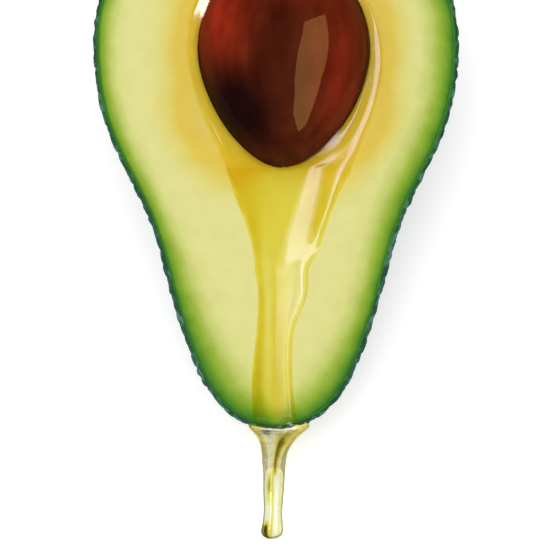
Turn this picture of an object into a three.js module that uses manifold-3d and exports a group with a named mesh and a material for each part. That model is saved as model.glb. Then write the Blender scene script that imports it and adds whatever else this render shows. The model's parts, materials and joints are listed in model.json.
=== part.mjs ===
// Half of an avocado, cut lengthwise through the stem, with its seed in place and oil running
// from round the seed over the cut face, off the stem end and onto the surface below.
//
// Millimetres, +Z up. The half lies on its back on z = 0, on a small flat spot, with the stem
// end towards -Y and a little lower than the blossom end. The origin is the middle of the
// bottom of the bounding box.
//
// The fruit is shaped in a frame of its own: the cut face is its XY plane, +Z points out of
// the cut face, +Y to the blossom end, and y = 0 is the widest section.
import * as THREE from "three";
import { mergeVertices } from "three/addons/utils/BufferGeometryUtils.js";
import Module from "manifold-3d";

const wasm = await Module();
wasm.setup();

// ---- Fruit ----
const BULB_RADIUS = 36.5; // half the greatest width
const BLOSSOM_LENGTH = 33; // widest section to the blossom end
const STEM_LENGTH = 77.5; // widest section to the stem end
const NECK_DISTANCE = 44.5; // widest section to the middle of the neck
const NECK_RADIUS = 22.6; // half width at the middle of the neck
const NECK_TAPER = 0.25; // radius lost per millimetre at the middle of the neck
const BACK_DEPTH = 35; // cut face to the deepest point of the back
const SKIN_THICKNESS = 1.2;

// ---- Seed ----
const SEED_RADIUS = 16.9;
const SEED_BLOSSOM_LENGTH = 19; // widest section of the seed to its round end
const SEED_STEM_LENGTH = 23.6; // widest section of the seed to its pointed end
const SEED_CENTRE = new THREE.Vector2(1.5, -1.7); // its widest section, in the fruit's frame

// ---- Rest ----
const TILT = THREE.MathUtils.degToRad(13); // how far the stem end leans down
const FLAT_DEPTH = 0.7; // how much of the skin the flat spot takes

// ---- Oil ----
const FILM_THICKNESS = 1.6; // over the cut face
const FILM_BEVEL = 0.7; // rounding of the film's edge
const MOAT_WIDTH = 1.4; // oil beyond the seed
const STREAM_HALF_WIDTH = 4.2; // on the cut face, near the stem end
const FALL_HALF_WIDTH = 6.4; // where the oil goes over the rim
const FALL_HALF_THICKNESS = 0.9;
const FALL_REACH = 3.2; // how far in front of the stem end the oil lands
const TRICKLE_HALF_WIDTH = 2.2; // along the surface
const TRICKLE_HALF_THICKNESS = 1.4;
const TRICKLE_LENGTH = 15.5; // from where it lands to its tip
const TRICKLE_DRIFT = -1.2; // how far to the side its tip lies

// ---- Fits ----
const GAP = 0.3; // between pieces that touch

// ---- Mesh density ----
const PROFILE_STEPS = 12; // per stretch of the fruit's profile
const TURN_STEPS = 60; // round the fruit's axis
const SEED_STEPS = 10;
const SEED_TURN_STEPS = 32;
const FILM_STEPS = 84;
const SWEEP_STEPS = 30;
const SWEEP_END_STEPS = 4; // over its round end
const SWEEP_SIDES = 16;

const ROUND = 0.5523; // handle length of a cubic that follows a quarter circle
const SPACE = 400; // larger than the object, for cutting boxes

// Two stretches meet at the widest section, so both tangents there are along the axis.
function quarter(radius, length, sideHandle, endHandle) {
  return new THREE.CubicBezierCurve(
    new THREE.Vector2(radius, 0),
    new THREE.Vector2(radius, length * sideHandle),
    new THREE.Vector2(radius * endHandle, length),
    new THREE.Vector2(0, length),
  );
}

// The fruit's half outline as (distance from the axis, y), from the stem end to the blossom end.
function fruitOutline(steps) {
  const neck = new THREE.Vector2(NECK_RADIUS, -NECK_DISTANCE);
  const down = new THREE.Vector2(-NECK_TAPER, -1).normalize();
  const bellyHandle = 0.5 * NECK_DISTANCE; // at the widest section
  const neckHandle = 0.45 * NECK_DISTANCE; // at the neck, towards the belly
  const tipHandle = 0.73 * (STEM_LENGTH - NECK_DISTANCE); // at the neck, towards the tip
  const tipRound = 0.53 * NECK_RADIUS; // at the stem end
  const stem = new THREE.CubicBezierCurve(
    new THREE.Vector2(0, -STEM_LENGTH),
    new THREE.Vector2(tipRound, -STEM_LENGTH),
    neck.clone().addScaledVector(down, tipHandle),
    neck,
  );
  const belly = new THREE.CubicBezierCurve(
    neck,
    neck.clone().addScaledVector(down, -neckHandle),
    new THREE.Vector2(BULB_RADIUS, -bellyHandle),
    new THREE.Vector2(BULB_RADIUS, 0),
  );
  const blossom = quarter(BULB_RADIUS, BLOSSOM_LENGTH, ROUND, ROUND);
  return [stem, belly, blossom].flatMap((curve, i) => curve.getPoints(steps).slice(i ? 1 : 0));
}

// The seed's half outline, from its pointed end to its round end.
function seedOutline(steps) {
  const pointed = quarter(SEED_RADIUS, -SEED_STEM_LENGTH, 0.42, 0.46).getPoints(steps).reverse();
  const round = quarter(SEED_RADIUS, SEED_BLOSSOM_LENGTH, ROUND, ROUND).getPoints(steps);
  return [...pointed, ...round.slice(1)];
}

// An outline moved along its normals: outwards if distance is positive.
function offsetOutline(points, distance) {
  return points.map((point, i) => {
    const before = points[Math.max(i - 1, 0)];
    const after = points[Math.min(i + 1, points.length - 1)];
    const along = after.clone().sub(before).normalize();
    if (i === 0) along.set(1, 0);
    if (i === points.length - 1) along.set(-1, 0);
    const moved = point.clone().add(new THREE.Vector2(along.y, -along.x).multiplyScalar(distance));
    if (i === 0 || i === points.length - 1) moved.x = 0;
    return moved;
  });
}

// ---- Solids ----
function toSolid(geometry) {
  const bare = geometry.index ? geometry.toNonIndexed() : geometry.clone();
  bare.deleteAttribute("normal");
  bare.deleteAttribute("uv");
  const merged = mergeVertices(bare, 1e-4);
  const made = new wasm.Manifold(
    new wasm.Mesh({
      numProp: 3,
      vertProperties: merged.attributes.position.array,
      triVerts: new Uint32Array(merged.index.array),
    }),
  );
  if (made.volume() > 0) return made;
  throw new Error("a profile is the wrong way round");
}

function toGeometry(solid) {
  const mesh = solid.getMesh();
  const geometry = new THREE.BufferGeometry();
  geometry.setAttribute("position", new THREE.BufferAttribute(mesh.vertProperties, 3));
  geometry.setIndex(new THREE.BufferAttribute(mesh.triVerts, 1));
  geometry.computeVertexNormals();
  return geometry;
}

// The outline turned about the fruit's axis, flattened to the half's depth.
function turned(points, turnSteps, depthShare) {
  return new THREE.LatheGeometry(points, turnSteps).scale(1, 1, depthShare);
}

// Everything on one side of a level plane: below z = height, or above it.
function slab(height, above) {
  const centre = height + (above ? SPACE / 2 : -SPACE / 2);
  return new THREE.BoxGeometry(SPACE, SPACE, SPACE).translate(0, 0, centre);
}

// ---- Where the fruit lies ----
// The lowest point of the tilted back goes to FLAT_DEPTH under the origin.
function placement() {
  const tilt = new THREE.Matrix4().makeRotationX(TILT);
  const backShare = BACK_DEPTH / BULB_RADIUS;
  const back = fruitOutline(200).map((p) => new THREE.Vector3(0, p.y, -p.x * backShare));
  const lowest = back.map((p) => p.applyMatrix4(tilt)).reduce((a, b) => (b.z < a.z ? b : a));
  return new THREE.Matrix4().makeTranslation(0, -lowest.y, -lowest.z - FLAT_DEPTH).multiply(tilt);
}

const PLACE = placement();
const LIFT = PLACE.clone().invert(); // from the surface's frame to the fruit's

// The fruit, shrunk by inset, as a solid with no cut yet.
function fruitSolid(inset) {
  const outline = offsetOutline(fruitOutline(PROFILE_STEPS), -inset);
  return toSolid(turned(outline, TURN_STEPS, BACK_DEPTH / BULB_RADIUS));
}

function seedSolid(growth) {
  const outline = offsetOutline(seedOutline(SEED_STEPS), growth);
  const egg = new THREE.LatheGeometry(outline, SEED_TURN_STEPS);
  return toSolid(egg.translate(SEED_CENTRE.x, SEED_CENTRE.y, 0));
}

const behindCut = toSolid(slab(0, false));
const surface = toSolid(slab(0, false).applyMatrix4(LIFT));

function buildSkin() {
  return fruitSolid(0).intersect(behindCut).subtract(fruitSolid(SKIN_THICKNESS)).subtract(surface);
}

function buildFlesh() {
  return fruitSolid(SKIN_THICKNESS + GAP).intersect(behindCut).subtract(seedSolid(GAP));
}

// ---- Oil ----
// The film's outline on the cut face: a moat round the seed that gathers into a stream and
// spreads again at the stem end.
function filmOutline() {
  const { x, y } = SEED_CENTRE;
  const moat = SEED_RADIUS + MOAT_WIDTH;
  const seedEnd = y - SEED_STEM_LENGTH;
  const run = STEM_LENGTH + seedEnd; // from the seed's pointed end to the stem end
  const right = [
    [x + moat, y],
    [x + 0.95 * moat, y - 0.62 * SEED_STEM_LENGTH],
    [x + 0.6 * moat, seedEnd - 0.12 * run],
    [x + 0.25 * moat, seedEnd - 0.4 * run],
    [0.8 * STREAM_HALF_WIDTH, seedEnd - 0.7 * run],
    [STREAM_HALF_WIDTH, seedEnd - 0.92 * run],
    [0.9 * FALL_HALF_WIDTH, -STEM_LENGTH],
  ];
  const left = [
    [-0.9 * FALL_HALF_WIDTH, -STEM_LENGTH],
    [-STREAM_HALF_WIDTH, seedEnd - 0.92 * run],
    [-0.85 * STREAM_HALF_WIDTH, seedEnd - 0.6 * run],
    [x - 0.45 * moat, seedEnd - 0.2 * run],
    [x - 0.74 * moat, seedEnd + 0.2 * SEED_STEM_LENGTH],
    [x - 0.98 * moat, y - 0.3 * SEED_STEM_LENGTH],
    [x - moat, y],
  ];
  const blossom = [
    [x - 0.74 * moat, y + 0.68 * (SEED_BLOSSOM_LENGTH + MOAT_WIDTH)],
    [x, y + SEED_BLOSSOM_LENGTH + MOAT_WIDTH],
    [x + 0.74 * moat, y + 0.68 * (SEED_BLOSSOM_LENGTH + MOAT_WIDTH)],
  ];
  const corners = [...right, ...left, ...blossom].map(([u, v]) => new THREE.Vector3(u, v, 0));
  const line = new THREE.CatmullRomCurve3(corners, true).getSpacedPoints(FILM_STEPS).slice(1);
  return new THREE.Shape(line.map((point) => new THREE.Vector2(point.x, point.y)));
}

function filmSolid() {
  const film = new THREE.ExtrudeGeometry(filmOutline(), {
    depth: SKIN_THICKNESS + FILM_THICKNESS - FILM_BEVEL,
    steps: 1,
    bevelThickness: FILM_BEVEL,
    bevelSize: FILM_BEVEL,
    bevelOffset: -FILM_BEVEL,
    bevelSegments: 2,
  });
  return toSolid(film.translate(0, 0, -SKIN_THICKNESS).applyMatrix4(PLACE));
}

// A closed body with elliptical sections, swept along a path that runs in the YZ plane, more or
// less. sizeAt gives the half width, along X, and the half thickness, square to the path. The
// far end is rounded over endLength.
function sweep(path, endLength, sizeAt) {
  const length = path.getLength();
  const straight = length - endLength;
  const rings = [];
  for (let i = 0; i <= SWEEP_STEPS; i++) {
    rings.push({ distance: (straight * i) / SWEEP_STEPS, share: 1 });
  }
  for (let i = 1; i <= SWEEP_END_STEPS; i++) {
    const angle = ((Math.PI / 2) * i) / (SWEEP_END_STEPS + 0.5);
    rings.push({ distance: straight + endLength * Math.sin(angle), share: Math.cos(angle) });
  }
  const positions = [];
  for (const { distance, share } of rings) {
    const centre = path.getPointAt(distance / length);
    const along = path.getTangentAt(distance / length);
    const up = new THREE.Vector3(0, -along.z, along.y).normalize();
    const { halfWidth, halfThickness } = sizeAt(distance);
    for (let j = 0; j < SWEEP_SIDES; j++) {
      const angle = (2 * Math.PI * j) / SWEEP_SIDES;
      const point = centre.clone();
      point.addScaledVector(up, share * halfThickness * Math.sin(angle));
      point.x += share * halfWidth * Math.cos(angle);
      positions.push(...point);
    }
  }
  const index = [];
  for (let i = 0; i < rings.length - 1; i++) {
    for (let j = 0; j < SWEEP_SIDES; j++) {
      const here = i * SWEEP_SIDES + j;
      const beside = i * SWEEP_SIDES + ((j + 1) % SWEEP_SIDES);
      index.push(here, here + SWEEP_SIDES, beside);
      index.push(beside, here + SWEEP_SIDES, beside + SWEEP_SIDES);
    }
  }
  const last = (rings.length - 1) * SWEEP_SIDES;
  for (let j = 1; j < SWEEP_SIDES - 1; j++) {
    index.push(0, j, j + 1);
    index.push(last, last + j + 1, last + j);
  }
  const geometry = new THREE.BufferGeometry();
  geometry.setAttribute("position", new THREE.Float32BufferAttribute(positions, 3));
  return geometry.setIndex(index);
}

// Over the rim, down to the surface and along it.
function fallSolid() {
  const onFace = new THREE.Vector3(0, FALL_HALF_WIDTH - STEM_LENGTH, 0).applyMatrix4(PLACE);
  const overRim = new THREE.Vector3(0, -STEM_LENGTH - 0.6, 0).applyMatrix4(PLACE);
  const landing = overRim.y - FALL_REACH;
  const level = 0.8 * TRICKLE_HALF_THICKNESS; // a little under its middle, so its foot is wide
  const path = new THREE.CatmullRomCurve3([
    onFace,
    overRim,
    new THREE.Vector3(0, overRim.y - 0.7 * FALL_REACH, 0.6 * overRim.z),
    new THREE.Vector3(0.15 * TRICKLE_DRIFT, landing, 0.25 * overRim.z),
    new THREE.Vector3(0.3 * TRICKLE_DRIFT, landing - 1.6 * TRICKLE_HALF_WIDTH, level),
    new THREE.Vector3(0.6 * TRICKLE_DRIFT, landing - 0.5 * TRICKLE_LENGTH, level),
    new THREE.Vector3(TRICKLE_DRIFT, landing - TRICKLE_LENGTH, level),
  ]);
  const rim = onFace.distanceTo(overRim); // along the path
  const drawn = rim + overRim.z; // where it has drawn together
  const { lerp, smoothstep } = THREE.MathUtils;
  return toSolid(
    sweep(path, 1.3 * TRICKLE_HALF_WIDTH, (distance) => {
      const spread = smoothstep(distance, 0, rim);
      const narrow = smoothstep(distance, rim, drawn);
      const wide = lerp(0.8 * STREAM_HALF_WIDTH, FALL_HALF_WIDTH, spread);
      return {
        halfWidth: lerp(wide, TRICKLE_HALF_WIDTH, narrow),
        halfThickness: lerp(FALL_HALF_THICKNESS, TRICKLE_HALF_THICKNESS, narrow),
      };
    }),
  );
}

// The half and its seed, grown by the gap, is what the oil has to keep clear of.
function keepOut() {
  const half = fruitSolid(-GAP).intersect(toSolid(slab(GAP, false)));
  return toSolid(toGeometry(half.add(seedSolid(GAP))).applyMatrix4(PLACE));
}

function buildOil() {
  return filmSolid().add(fallSolid()).subtract(keepOut()).subtract(toSolid(slab(0, false)));
}

// ---- Finishes ----
const skinFinish = new THREE.MeshStandardMaterial({ color: 0x1c4a2a, roughness: 0.45 });
const fleshFinish = new THREE.MeshStandardMaterial({ color: 0xdcd98a, roughness: 0.5 });
const seedFinish = new THREE.MeshStandardMaterial({ color: 0x5c2012, roughness: 0.2 });
const oilFinish = new THREE.MeshStandardMaterial({
  color: 0xd8c22c,
  roughness: 0.05,
  transparent: true,
  opacity: 0.6,
});

function piece(name, solid, finish) {
  const mesh = new THREE.Mesh(toGeometry(solid), finish);
  mesh.name = name;
  return mesh;
}

// ---- Assembly ----
const half = new THREE.Group();
half.applyMatrix4(PLACE);
half.add(
  piece("skin", buildSkin(), skinFinish),
  piece("flesh", buildFlesh(), fleshFinish),
  piece("seed", seedSolid(0), seedFinish),
);

const avocado = new THREE.Group();
avocado.add(half, piece("oil", buildOil(), oilFinish));
const middle = new THREE.Box3().setFromObject(avocado, true).getCenter(new THREE.Vector3());
avocado.position.set(-middle.x, -middle.y, 0);

export default avocado;
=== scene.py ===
"""Half an avocado with its seed and running oil: the fine surfaces over the fixed frame.

The fruit is shaped in a frame of its own, in millimetres: the cut face is its XY plane, +Z points
out of the cut face, +Y to the blossom end, and y = 0 is the widest section. Fruit.place turns
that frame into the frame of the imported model, in metres.
"""

from __future__ import annotations

import json
import logging
import math
from dataclasses import astuple, dataclass, field
from enum import Enum
from typing import Union

import bpy
import numpy as np
from mathutils import Matrix, Vector, noise

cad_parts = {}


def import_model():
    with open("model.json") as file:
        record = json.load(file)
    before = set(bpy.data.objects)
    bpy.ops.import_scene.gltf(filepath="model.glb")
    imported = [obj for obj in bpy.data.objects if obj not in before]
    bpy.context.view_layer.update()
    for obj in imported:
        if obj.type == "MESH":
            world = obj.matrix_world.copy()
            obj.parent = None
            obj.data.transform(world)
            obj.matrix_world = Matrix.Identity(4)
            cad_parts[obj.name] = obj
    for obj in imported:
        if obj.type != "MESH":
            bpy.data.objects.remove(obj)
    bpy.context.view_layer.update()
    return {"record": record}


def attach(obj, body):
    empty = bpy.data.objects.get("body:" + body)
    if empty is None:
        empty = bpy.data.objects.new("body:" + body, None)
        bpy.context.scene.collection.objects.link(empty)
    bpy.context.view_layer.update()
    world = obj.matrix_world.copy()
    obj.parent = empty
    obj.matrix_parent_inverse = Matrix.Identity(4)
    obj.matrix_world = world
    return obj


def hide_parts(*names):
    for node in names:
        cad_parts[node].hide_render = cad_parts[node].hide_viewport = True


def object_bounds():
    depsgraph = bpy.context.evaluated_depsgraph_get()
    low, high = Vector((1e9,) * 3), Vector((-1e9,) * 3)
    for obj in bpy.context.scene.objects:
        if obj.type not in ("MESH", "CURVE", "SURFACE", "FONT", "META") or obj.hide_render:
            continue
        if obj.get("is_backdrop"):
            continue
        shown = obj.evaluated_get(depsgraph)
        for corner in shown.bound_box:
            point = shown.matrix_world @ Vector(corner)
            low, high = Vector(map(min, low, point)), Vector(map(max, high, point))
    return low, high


LOG = logging.getLogger("avocado")
MM = 0.001
BODY = "root"
Colour = tuple[float, float, float]
Stop = tuple[float, Colour]
Socket = bpy.types.NodeSocket
Entry = Union[Socket, float, tuple[float, ...]]


class Slot(Enum):
    """The record's material slots."""

    SKIN = "skin"
    FLESH = "flesh"
    SEED = "seed"
    OIL = "oil"


# ---------------------------------------------------------------------------------------------
# Curves and meshes
# ---------------------------------------------------------------------------------------------


def bezier(points: list[tuple[float, float]], steps: int) -> np.ndarray:
    """Samples one cubic Bezier curve.

    Args:
        points: Its two ends with the two handles between them.
        steps: How many stretches to cut it into.

    Returns:
        One row for each of steps + 1 points.
    """
    t = np.linspace(0, 1, steps + 1)[:, None]
    a, b, c, d = (np.array(p, float) for p in points)
    return (1 - t) ** 3 * a + 3 * (1 - t) ** 2 * t * b + 3 * (1 - t) * t**2 * c + t**3 * d


def through(points: list[tuple[float, ...]], steps: int) -> np.ndarray:
    """Samples a smooth curve through points that lie at equal steps of its parameter.

    Args:
        points: The points, each with any number of coordinates.
        steps: How many stretches to cut the whole curve into.

    Returns:
        One row for each of steps + 1 points.
    """
    p = np.array(points, float)
    p = np.vstack([2 * p[0] - p[1], p, 2 * p[-1] - p[-2]])
    at = np.linspace(0, len(points) - 1, steps + 1)
    i = np.minimum(at.astype(int), len(points) - 2)
    t = (at - i)[:, None]
    a, b, c, d = p[i], p[i + 1], p[i + 2], p[i + 3]
    bend = 2 * a - 5 * b + 4 * c - d
    return 0.5 * (2 * b + (c - a) * t + bend * t**2 + (3 * b - a - 3 * c + d) * t**3)


def smoothstep(x: np.ndarray | float, low: float, high: float) -> np.ndarray:
    """Rises smoothly from 0 at low to 1 at high."""
    t = np.clip((np.asarray(x, float) - low) / (high - low), 0, 1)
    return t * t * (3 - 2 * t)


def hump(x: np.ndarray, width: float | np.ndarray) -> np.ndarray:
    """A bell of height 1 at 0 that has sunk to about a third at width."""
    return np.exp(-((x / width) ** 2))


def distance_to(points: np.ndarray, line: np.ndarray) -> np.ndarray:
    """Distance from points in a plane to an open line of short stretches.

    Args:
        points: Rows of (x, y).
        line: Rows of (x, y) along the line.

    Returns:
        One distance for each point.
    """
    start, along = line[:-1], np.diff(line, axis=0)
    length2 = np.maximum((along**2).sum(1), 1e-12)
    best = np.full(len(points), np.inf)
    for a, v, l2 in zip(start, along, length2):
        t = np.clip(((points - a) @ v) / l2, 0, 1)
        gap = points - a - t[:, None] * v
        best = np.minimum(best, (gap**2).sum(1))
    return np.sqrt(best)


@dataclass
class Surface:
    """A mesh in the making: grids of points that are stitched where they meet."""

    name: str
    points: list[np.ndarray] = field(default_factory=list)
    faces: list[np.ndarray] = field(default_factory=list)
    values: list[dict[str, np.ndarray]] = field(default_factory=list)

    def grid(self, points: np.ndarray, flip: bool = False, **values: np.ndarray) -> None:
        """Adds a grid of four-sided faces.

        Args:
            points: Array of rows, columns and 3 coordinates, in the fruit's millimetres.
            flip: Turns the faces over.
            values: Named numbers, one for each point, kept for the finish to read. A name
                that other grids give and this one does not is 0 here.
        """
        rows, columns = points.shape[:2]
        first = sum(len(p) for p in self.points)
        corner = first + np.arange(rows * columns).reshape(rows, columns)
        quads = np.stack(
            [corner[:-1, :-1], corner[1:, :-1], corner[1:, 1:], corner[:-1, 1:]], axis=-1
        ).reshape(-1, 4)
        self.faces.append(quads[:, ::-1] if flip else quads)
        self.points.append(points.reshape(-1, 3))
        self.values.append({k: np.asarray(v, float).reshape(-1) for k, v in values.items()})

    def make(self, place: Matrix, weld: float = 1e-4) -> bpy.types.Object:
        """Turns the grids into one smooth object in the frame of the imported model.

        Args:
            place: The fruit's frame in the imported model's.
            weld: Points closer than this, in millimetres, become one.

        Returns:
            The object, with the named values and each point's fruit position as attributes.
        """
        points = np.vstack(self.points)
        keys = np.round(points / weld).astype(np.int64)
        _, first, where = np.unique(keys, axis=0, return_index=True, return_inverse=True)
        where = where.reshape(-1)
        kept = points[first]
        faces = []
        for quad in where[np.vstack(self.faces)].tolist():
            around = [c for i, c in enumerate(quad) if c != quad[i - 1]]
            if len(around) >= 3 and len(set(around)) == len(around):
                faces.append(around)
        matrix = np.array(place)
        lying = kept @ matrix[:3, :3].T + matrix[:3, 3]
        mesh = bpy.data.meshes.new(self.name)
        mesh.from_pydata(lying.tolist(), [], faces)
        mesh.shade_smooth()
        at = mesh.attributes.new("fruit_mm", "FLOAT_VECTOR", "POINT")
        at.data.foreach_set("vector", kept.astype(np.float32).reshape(-1))
        for name in sorted({name for values in self.values for name in values}):
            parts = [v.get(name, np.zeros(len(p))) for v, p in zip(self.values, self.points)]
            stored = mesh.attributes.new(name, "FLOAT", "POINT")
            stored.data.foreach_set("value", np.concatenate(parts)[first].astype(np.float32))
        mesh.validate()
        made = bpy.data.objects.new(self.name, mesh)
        bpy.context.scene.collection.objects.link(made)
        LOG.info("%s: %d points, %d faces", self.name, len(kept), len(faces))
        return made


def stand_in(made: bpy.types.Object, slot: Slot, *nodes: str) -> None:
    """Ties a piece to the frame and hides the plain nodes that it stands for.

    Args:
        made: The piece.
        slot: Its material slot; not used.
        nodes: The plain nodes' names.
    """
    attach(made, BODY)
    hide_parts(*nodes)


# ---------------------------------------------------------------------------------------------
# Finishes
# ---------------------------------------------------------------------------------------------


def linear(colour: Colour) -> tuple[float, float, float, float]:
    """Turns a display colour into the light values that shaders take.

    Args:
        colour: Red, green and blue from 0 to 255.

    Returns:
        Red, green, blue and alpha from 0 to 1.
    """
    parts = [c / 255 for c in colour]
    light = [c / 12.92 if c <= 0.04045 else ((c + 0.055) / 1.055) ** 2.4 for c in parts]
    return (*light, 1.0)


def grey(level: float) -> Colour:
    """A grey from 0, black, to 255, white."""
    return (level, level, level)


class Nodes:
    """A material's node tree, with short ways to add and join nodes."""

    def __init__(self, name: str) -> None:
        """Starts an empty material.

        Args:
            name: The material's name.
        """
        self.material = bpy.data.materials.new(name)
        self.material.use_nodes = True
        self.tree = self.material.node_tree
        self.tree.nodes.clear()

    def add(
        self, kind: str, inputs: dict[str | int, Entry] | None = None, **settings: str
    ) -> bpy.types.Node:
        """Adds a node.

        Args:
            kind: The node's type, without the ShaderNode in front.
            inputs: Socket name or number to a value, or to an output to join to it.
            settings: The node's own properties.

        Returns:
            The node.
        """
        node = self.tree.nodes.new(f"ShaderNode{kind}")
        for name, value in settings.items():
            setattr(node, name, value)
        for name, value in (inputs or {}).items():
            if isinstance(value, bpy.types.NodeSocket):
                self.tree.links.new(value, node.inputs[name])
            else:
                node.inputs[name].default_value = value
        return node

    def value(self, name: str) -> Socket:
        """The number that the mesh keeps under a name."""
        return self.add("Attribute", attribute_name=name).outputs["Fac"]

    def fruit_mm(self) -> Socket:
        """The point's place in the fruit's frame."""
        return self.add("Attribute", attribute_name="fruit_mm").outputs["Vector"]

    def stretched(self, scale: tuple[float, float, float]) -> Socket:
        """The point's place in the fruit's frame, stretched."""
        node = self.add("Mapping", {"Vector": self.fruit_mm(), "Scale": scale})
        return node.outputs["Vector"]

    def noise(self, scale: float, detail: float = 2.0, where: Socket | None = None) -> Socket:
        """Cloudy noise from 0 to 1, with scale patches to the millimetre."""
        inputs = {"Vector": where or self.fruit_mm(), "Scale": scale, "Detail": detail}
        return self.add("TexNoise", inputs).outputs["Fac"]

    def maths(self, operation: str, *values: Entry) -> Socket:
        """One step of arithmetic."""
        node = self.add("Math", dict(enumerate(values)), operation=operation)
        return node.outputs[0]

    def ramp(self, fac: Socket, stops: list[Stop], span: float = 1.0) -> Socket:
        """A run of colours.

        Args:
            fac: The number that picks the colour.
            stops: Places from 0 to span, each with a display colour.
            span: The number at which the run ends.

        Returns:
            The colour's socket.
        """
        if span != 1.0:
            fac = self.maths("DIVIDE", fac, span)
        node = self.add("ValToRGB", {"Fac": fac})
        elements = node.color_ramp.elements
        while len(elements) < len(stops):
            elements.new(1.0)
        for element, (at, colour) in zip(elements, stops):
            element.position = at / span
            element.color = linear(colour)
        return node.outputs["Color"]

    def mix(self, fac: Entry, a: Entry, b: Entry, blend: str = "MIX") -> Socket:
        """Mixes one colour over another.

        Args:
            fac: The share of the upper colour.
            a: The lower colour.
            b: The upper colour.
            blend: How the upper one goes over the lower one.

        Returns:
            The mixed colour's socket.
        """
        node = self.add("Mix", {0: fac, 6: a, 7: b}, data_type="RGBA", blend_type=blend)
        return node.outputs[2]

    def bump(self, height: Socket, depth: float) -> Socket:
        """Bends the surface's normal as if height, 0 to 1, stood depth millimetres tall."""
        inputs = {"Height": height, "Distance": depth * MM, "Strength": 1.0}
        return self.add("Bump", inputs).outputs["Normal"]

    def finish(self, shader: bpy.types.Node) -> bpy.types.Material:
        """Joins the shader to the output and returns the material."""
        self.add("OutputMaterial", {"Surface": shader.outputs[0]})
        return self.material


# Colours across the cut, by the depth under the outside of the skin in millimetres.
FROM_SKIN: list[Stop] = [
    (0.0, (20, 72, 48)),
    (0.25, (24, 92, 44)),
    (0.6, (50, 118, 38)),
    (1.0, (80, 136, 34)),
    (1.5, (114, 156, 36)),
    (2.4, (156, 180, 62)),
    (3.4, (193, 201, 108)),
    (4.6, (213, 214, 134)),
    (6.0, (219, 217, 140)),
    (8.0, (221, 217, 143)),
]
# Colours around the seed, by the distance from it in millimetres.
FROM_SEED: list[Stop] = [
    (0.0, (226, 200, 96)),
    (3.0, (221, 194, 80)),
    (4.6, (222, 195, 79)),
    (5.8, (224, 203, 100)),
    (7.0, (226, 209, 117)),
    (9.0, (224, 215, 134)),
    (11.0, (221, 217, 143)),
]


@dataclass(frozen=True)
class FleshFinish:
    """Moist flesh: green at the skin, pale within, golden round the seed."""

    vein: Colour = (70, 112, 30)

    def material(self) -> bpy.types.Material:
        """Makes the material; the mesh holds skin_depth and seed_depth in millimetres.

        Returns:
            The material.
        """
        n = Nodes("flesh_moist")
        wobble = n.maths("SUBTRACT", n.noise(0.3, 4.0), 0.5)
        depth = n.maths("MULTIPLY_ADD", wobble, 0.7, n.value("skin_depth"))
        outer = n.ramp(depth, FROM_SKIN, span=FROM_SKIN[-1][0])
        drift = n.maths("SUBTRACT", n.noise(0.1, 3.0), 0.5)
        gold = n.maths("MULTIPLY_ADD", drift, 3.0, n.value("seed_depth"))
        inner = n.ramp(gold, FROM_SEED, span=FROM_SEED[-1][0])
        colour = n.mix(1.0, outer, inner, "DARKEN")
        dots = n.add("TexVoronoi", {"Vector": n.fruit_mm(), "Scale": 0.95})
        dot = n.ramp(dots.outputs["Distance"], [(0.1, grey(150)), (0.24, grey(0))])
        ring = n.ramp(depth, [(1.5, grey(0)), (2.0, grey(255)), (3.3, grey(0))], span=4.0)
        colour = n.mix(n.mix(1.0, dot, ring, "MULTIPLY"), colour, linear(self.vein))
        mottle = n.ramp(n.noise(0.3, 5.0), [(0.3, (249, 249, 246)), (0.7, grey(255))])
        colour = n.mix(1.0, colour, mottle, "MULTIPLY")
        normal = n.bump(n.noise(1.1, 3.0), 0.05)
        shader = n.add(
            "BsdfPrincipled",
            {
                "Base Color": colour,
                "Roughness": 0.42,
                "IOR": 1.38,
                "Subsurface Weight": 0.15,
                "Subsurface Radius": (1.0, 0.75, 0.3),
                "Subsurface Scale": 1.2 * MM,
                "Normal": normal,
            },
        )
        return n.finish(shader)


@dataclass(frozen=True)
class SkinFinish:
    """Thick dark green skin, glossier on its pebbles than between them."""

    groove: Colour = (32, 80, 42)
    pebble: Colour = (20, 58, 42)
    patch: Colour = (44, 96, 60)
    # painted highlight: pale teal dabs that stand in for glints on the skin
    painted_glint: Colour = (98, 156, 132)
    speck: Colour = (136, 158, 116)

    def material(self) -> bpy.types.Material:
        """Makes the material; the mesh holds pebble, lip, cut and skin_depth.

        Returns:
            The material.
        """
        n = Nodes("skin_pebbled")
        raised = n.value("pebble")
        colour = n.mix(raised, linear(self.groove), linear(self.pebble))
        cloud = n.ramp(n.noise(0.07, 3.0), [(0.45, grey(0)), (0.7, grey(150))])
        colour = n.mix(cloud, colour, linear(self.patch))
        # painted highlight: teal glints in dabs, faded out away from the cut edge by the lip share
        painted_glint = n.ramp(n.noise(0.42, 2.0), [(0.52, grey(0)), (0.62, grey(205))])
        lip = n.maths("MULTIPLY_ADD", n.value("lip"), 0.85, 0.15)
        colour = n.mix(n.maths("MULTIPLY", painted_glint, lip), colour, linear(self.painted_glint))
        spots = n.add("TexVoronoi", {"Vector": n.fruit_mm(), "Scale": 0.5, "Randomness": 1.0})
        dot = n.ramp(spots.outputs["Distance"], [(0.0, grey(190)), (0.13, grey(0))])
        colour = n.mix(dot, colour, linear(self.speck))
        green = n.ramp(n.value("skin_depth"), FROM_SKIN, span=FROM_SKIN[-1][0])
        colour = n.mix(n.value("cut"), colour, green)
        rough = n.ramp(raised, [(0.0, grey(150)), (1.0, grey(92))])
        normal = n.bump(n.noise(2.2, 4.0), 0.06)
        shader = n.add(
            "BsdfPrincipled",
            {
                "Base Color": colour,
                "Roughness": rough,
                "IOR": 1.45,
                "Coat Weight": 0.25,
                "Coat Roughness": 0.22,
                "Normal": normal,
            },
        )
        return n.finish(shader)


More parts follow.
